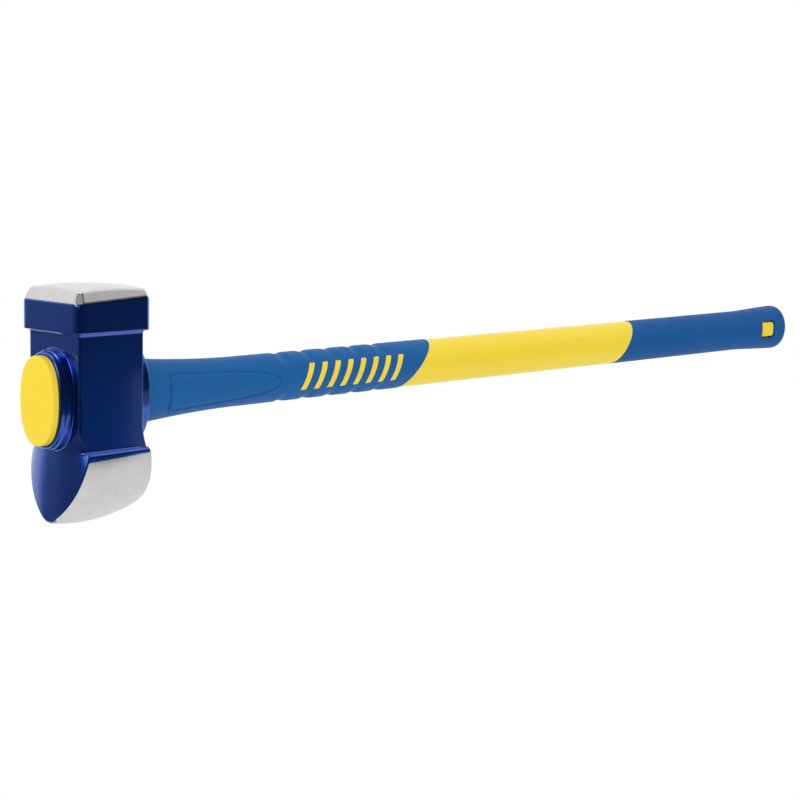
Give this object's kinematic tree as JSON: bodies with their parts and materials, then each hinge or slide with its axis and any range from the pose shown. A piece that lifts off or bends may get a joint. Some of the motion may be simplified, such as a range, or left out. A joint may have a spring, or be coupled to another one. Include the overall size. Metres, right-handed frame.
{
  "type": "splitting maul",
  "caption": "Long-handled splitting maul: a forged head with a square poll and a convex wedge bit, on an oval fibreglass handle with an overstrike guard and soft grips.",
  "frame": {"origin": "centre of the striking face, on the small flat at the top of its crown", "axes": "+Z is the striking face's outward normal, +X runs along the handle away from the head, +Y is across the cheeks"},
  "size_m": [0.8995, 0.0646, 0.1662],
  "materials": {
    "head_paint": "forged steel under gloss dark blue enamel; the striking face, its bevel and the bit's cheeks are ground bare",
    "yellow_plastic": "gloss yellow moulded plastic",
    "resin": "cured amber epoxy resin",
    "seal_rubber": "black rubber",
    "fibreglass": "pultruded glass fibre in polyester",
    "blue_guard": "satin blue moulded thermoplastic rubber",
    "blue_grip": "soft satin blue thermoplastic rubber"
  },
  "bodies": {
    "root": {"head": "head_paint", "eye_cap": "yellow_plastic", "eye_epoxy": "resin", "eye_seal": "seal_rubber", "fibreglass_core": "fibreglass", "handle_jacket": "yellow_plastic", "guard_sleeve": "blue_guard", "grip_marks": "yellow_plastic", "rear_grip": "blue_grip"}
  },
  "joints": []
}
